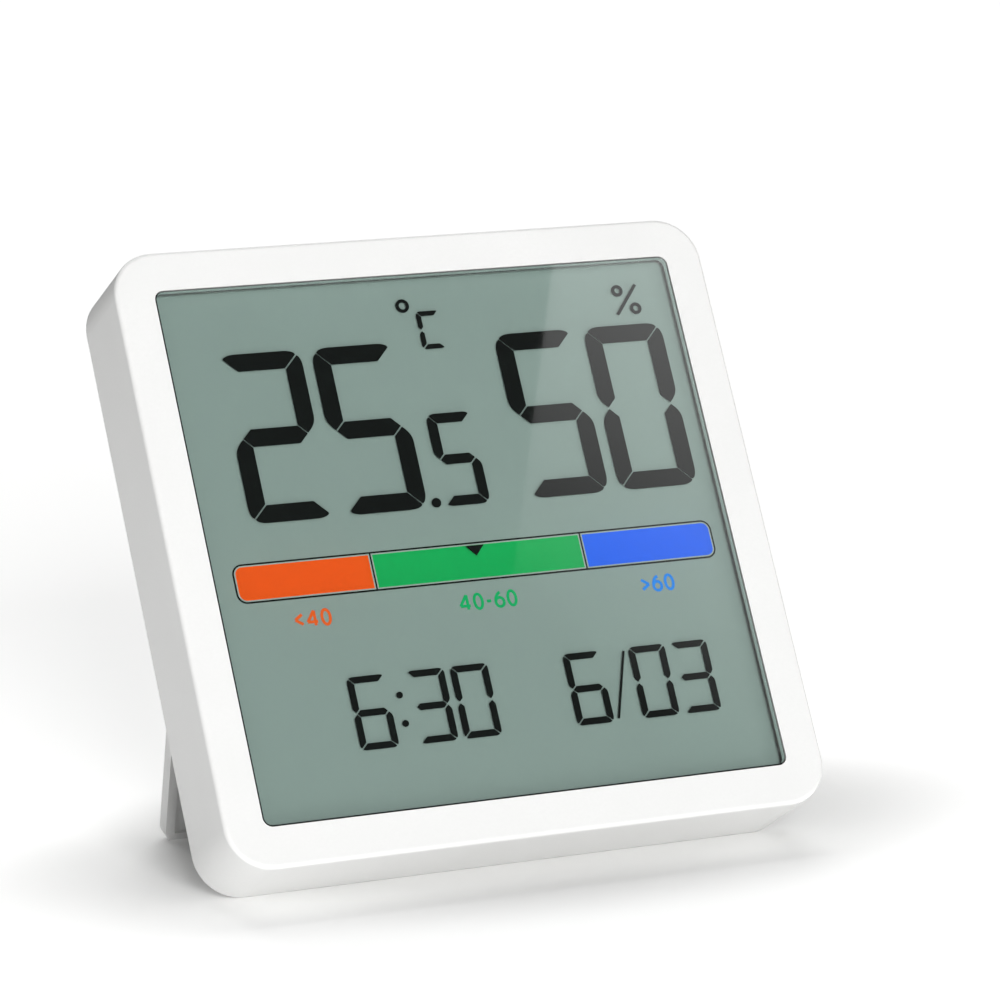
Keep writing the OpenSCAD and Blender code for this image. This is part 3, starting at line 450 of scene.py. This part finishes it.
def dress_inside():
    """The holder, the board and what is on it, and the battery."""
    dress(moulded("natural_abs_holder", "#E6E6E2", "#DCDCD7", 0.5, 0.4, 0.008), "lcd_holder")
    dress(contact_elastomer(), "zebra_strip")
    dress(solder_mask(), "main_board")
    dress(moulded("black_epoxy", "#141414", "#0B0B0C", 0.28, 1.2, 0.01, ior=1.55), "controller_resin")
    dress(moulded("chip_ceramic", "#D9CFB8", "#C9BEA4", 0.42, 0.2, 0.004), "sensor_chip", "chip_passives")
    dress(moulded("black_nylon", "#26272A", "#1B1C1E", 0.45, 0.3, 0.006), "tact_switches")
    dress(moulded("grey_acetal", "#8C8F93", "#7B7E82", 0.35, 0.3, 0.004, ior=1.48),
          "mode_plunger", "up_plunger", "down_plunger")
    dress(plated("nickel_plated_can", "#DADAD6", "#B9B9B4", 0.26, 0.4), "battery_cell", "crystal")
    dress(plated("spring_brass", "#D9B972", "#B8954C", 0.3, 0.35), "positive_contact", "negative_contact")


# Width and strokes of each printed sign, in heights of a digit
SIGNS = {
    "0": (0.56, [arc((0.28, 0.5), (0.28, 0.5))]),
    "4": (0.7, [[(0.52, 0), (0.52, 1)], [(0.52, 1), (0, 0.26)], [(0, 0.26), (0.7, 0.26)]]),
    "6": (0.58, [arc((0.29, 0.31), (0.29, 0.31)), arc((0.55, 0.31), (0.55, 0.69), 180, 105)]),
    "<": (0.5, [[(0.5, 0.82), (0, 0.48)], [(0, 0.48), (0.5, 0.14)]]),
    ">": (0.5, [[(0, 0.82), (0.5, 0.48)], [(0.5, 0.48), (0, 0.14)]]),
    "-": (0.3, [[(0, 0.45), (0.3, 0.45)]]),
}


def draw_signs(name, text):
    """A row of signs as round strokes, one digit high, and the width of the row."""
    strokes = bpy.data.curves.new(name, "CURVE")
    strokes.dimensions = "3D"
    strokes.bevel_depth = SIGN_STROKE / 2
    strokes.use_fill_caps = True
    reach = 0
    for sign in text:
        width, lines = SIGNS[sign]
        for line in lines:
            spline = strokes.splines.new("POLY")
            spline.points.add(len(line) - 1)
            for point, (px, py) in zip(spline.points, line):
                point.co = (reach + px, py, 0, 1)
        reach += width + SIGN_GAP
    drawn = bpy.data.objects.new(name + "_drawn", strokes)
    bpy.context.scene.collection.objects.link(drawn)
    mesh = bpy.data.meshes.new_from_object(drawn.evaluated_get(bpy.context.evaluated_depsgraph_get()))
    bpy.data.objects.remove(drawn)
    return mesh, reach - SIGN_GAP


def range_number(name, text, column, colour):
    """A humidity range printed under its field of the bar, as plain numbers: signs pressed flat."""
    low, high = front_span("comfort_film")
    base = front_span("lcd_reflector")[1].z + LABEL_LIFT_MM
    field_mm = (high.x - low.x) / 2
    x = (low.x + high.x) / 2 + column * (BAR_DIVIDER_MM + field_mm) / 2
    y = (low.y + high.y) / 2 - LABEL_DROP_MM
    mesh, width = draw_signs(name, text)
    middle = Vector((width / 2, 0.5, -SIGN_STROKE / 2))
    scale = LABEL_HEIGHT_MM / (1 + SIGN_STROKE)
    press = LABEL_THICKNESS_MM / SIGN_STROKE
    for vertex in mesh.vertices:
        p = vertex.co - middle
        vertex.co = from_flat((x + p.x * scale, y + p.y * scale, base + p.z * press))
    label = bpy.data.objects.new(name, mesh)
    bpy.context.scene.collection.objects.link(label)
    mesh.materials.clear()
    mesh.materials.append(ink(name.replace("_number", "_ink"), colour))
    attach(label, "case")


# Studio

def add_camera():
    azimuth, elevation = math.radians(CAMERA_AZIMUTH), math.radians(CAMERA_ELEVATION)
    level = Vector((math.sin(azimuth), -math.cos(azimuth), 0))
    back = level * math.cos(elevation) + Vector((0, 0, math.sin(elevation)))
    camera = bpy.data.objects.new("camera", bpy.data.cameras.new("camera"))
    camera.data.lens = CAMERA_LENS_MM
    camera.data.clip_start = CAMERA_CLIP_START
    camera.location = CAMERA_AIM + back * CAMERA_DISTANCE
    upright = (-back).to_track_quat("-Z", "Y").to_matrix()
    camera.rotation_euler = (upright @ Matrix.Rotation(math.radians(CAMERA_ROLL), 3, "Z")).to_euler()
    bpy.context.scene.collection.objects.link(camera)
    bpy.context.scene.camera = camera
    return camera


def add_floor():
    """A matt floor. Its lit strip is a light table that brightens what faces down, and is dark where the
    object
    stands: a painted shadow under the object."""
    half = FLOOR_WIDTH / 2
    corners = [(-half, -half, 0), (half, -half, 0), (half, half, 0), (-half, half, 0)]
    mesh = bpy.data.meshes.new("floor")
    mesh.from_pydata(corners, [], [(0, 1, 2, 3)])
    floor = bpy.data.objects.new("floor", mesh)
    bpy.context.scene.collection.objects.link(floor)
    material, tree = new_material("pale_floor")
    material.cycles.emission_sampling = "NONE"
    azimuth = math.radians(CAMERA_AZIMUTH)
    sideways = Vector((math.cos(azimuth), math.sin(azimuth), 0))
    place = add(tree, "TexCoord").outputs["Object"]
    across = add(tree, "VectorMath", {0: place, 1: sideways}, operation="DOT_PRODUCT")
    away = add(tree, "Math", {0: across.outputs["Value"]}, operation="ABSOLUTE")
    strip = add(tree, "MapRange", {
        0: away.outputs[0], 1: STRIP_CORE, 2: STRIP_REACH, 3: STRIP_GLOW, 4: 0.0},
        interpolation_type="SMOOTHSTEP")
    # Painted shadow: the glow fades out in an ellipse under the object
    from_centre = add(tree, "VectorMath", {0: place, 1: SHADE_CENTRE}, operation="SUBTRACT")
    scaled = add(tree, "VectorMath", {0: from_centre.outputs[0], 1: SHADE_SIZE}, operation="DIVIDE")
    beyond = add(tree, "VectorMath", {0: scaled.outputs[0]}, operation="LENGTH")
    unshaded = add(tree, "MapRange", {0: beyond.outputs["Value"], 1: SHADE_EDGE[0], 2: SHADE_EDGE[1]},
                   interpolation_type="SMOOTHSTEP")
    glow = add(tree, "Math", {0: strip.outputs[0], 1: unshaded.outputs[0]}, operation="MULTIPLY")
    shader = add(tree, "BsdfPrincipled", {
        "Base Color": linear(FLOOR_COLOUR), "Roughness": 0.9, "Specular IOR Level": 0.1,
        "Emission Color": linear("#FFFFFF"), "Emission Strength": glow.outputs[0]})
    add(tree, "OutputMaterial", {"Surface": shader.outputs[0]})
    mesh.materials.append(material)


def add_world():
    """A studio whose walls glow near the horizon and whose ceiling stays dim."""
    world = bpy.data.worlds.new("studio")
    world.use_nodes = True
    tree = world.node_tree
    tree.nodes.clear()
    way = add(tree, "TexCoord").outputs["Generated"]
    height = add(tree, "SeparateXYZ", {0: way}).outputs["Z"]
    rise = add(tree, "MapRange", {0: height, 1: 0.0, 2: HORIZON_TOP},
               interpolation_type="SMOOTHSTEP").outputs[0]
    colour = add(tree, "MixRGB", {0: rise, 1: linear(HORIZON_COLOUR), 2: linear(CEILING_COLOUR)})
    strength = add(tree, "MapRange", {0: rise, 3: HORIZON_STRENGTH, 4: CEILING_STRENGTH})
    glow = add(tree, "Background", {"Color": colour.outputs[0], "Strength": strength.outputs[0]})
    add(tree, "OutputWorld", {"Surface": glow.outputs[0]})
    bpy.context.scene.world = world


def add_softbox(name, width, height, power):
    light = bpy.data.lights.new(name, "AREA")
    light.shape = "RECTANGLE"
    light.size = width
    light.size_y = height
    light.energy = power
    softbox = bpy.data.objects.new(name, light)
    bpy.context.scene.collection.objects.link(softbox)
    return softbox


def add_fill_softboxes():
    """The softboxes of the list, each turned to the middle of the object."""
    middle = (cad_box[0] + cad_box[1]) / 2
    for name, place, width, power, in_gloss in FILL_SOFTBOXES:
        softbox = add_softbox(name, width, width, power)
        softbox.visible_glossy = in_gloss
        softbox.location = place
        softbox.rotation_euler = (middle - place).to_track_quat("-Z", "Y").to_euler()


def add_key_softbox(camera):
    """The softbox that the window mirrors: it fades from its far upper corner to its near lower one."""
    low, high = front_span("window_lens")
    middle = from_flat((low + high) / 2)
    ray = (middle - camera.location).normalized().reflect(TO_FACE)
    right = Vector((-ray.y, ray.x, 0)).normalized()
    across = Matrix.Rotation(math.radians(KEY_ROLL), 3, -ray) @ right
    along = ray.cross(across)
    width, length = KEY_SIZE
    softbox = add_softbox("key_softbox", width, length, KEY_RADIANCE * math.pi * width * length)
    centre = middle + ray * KEY_DISTANCE
    centre += across * (KEY_NEAR_EDGE + width / 2) + along * (KEY_LOW_END + length / 2)
    softbox.matrix_world = Matrix.Translation(centre) @ Matrix((across, along, ray)).transposed().to_4x4()
    softbox.data.use_nodes = True
    tree = softbox.data.node_tree
    tree.nodes.clear()
    start, gain_across, gain_along = KEY_FADE
    spot = add(tree, "SeparateXYZ", {0: add(tree, "NewGeometry").outputs["Parametric"]})
    by_width = add(tree, "Math", {0: spot.outputs[0], 1: gain_across, 2: start}, operation="MULTIPLY_ADD")
    fade = add(tree, "Math", {0: spot.outputs[1], 1: gain_along, 2: by_width.outputs[0]},
               operation="MULTIPLY_ADD", use_clamp=True)
    glow = add(tree, "Emission", {"Strength": fade.outputs[0]})
    add(tree, "OutputLight", {"Surface": glow.outputs[0]})


bpy.context.scene.view_settings.view_transform = "Standard"
bpy.context.scene.cycles.transparent_max_bounces = CLEAR_FACES

dress_case()
dress_display()
dress_inside()
for name, text, column, _, number_colour in FIELDS:
    range_number(name, text, column, number_colour)
camera = add_camera()
add_floor()
add_world()
add_fill_softboxes()
add_key_softbox(camera)
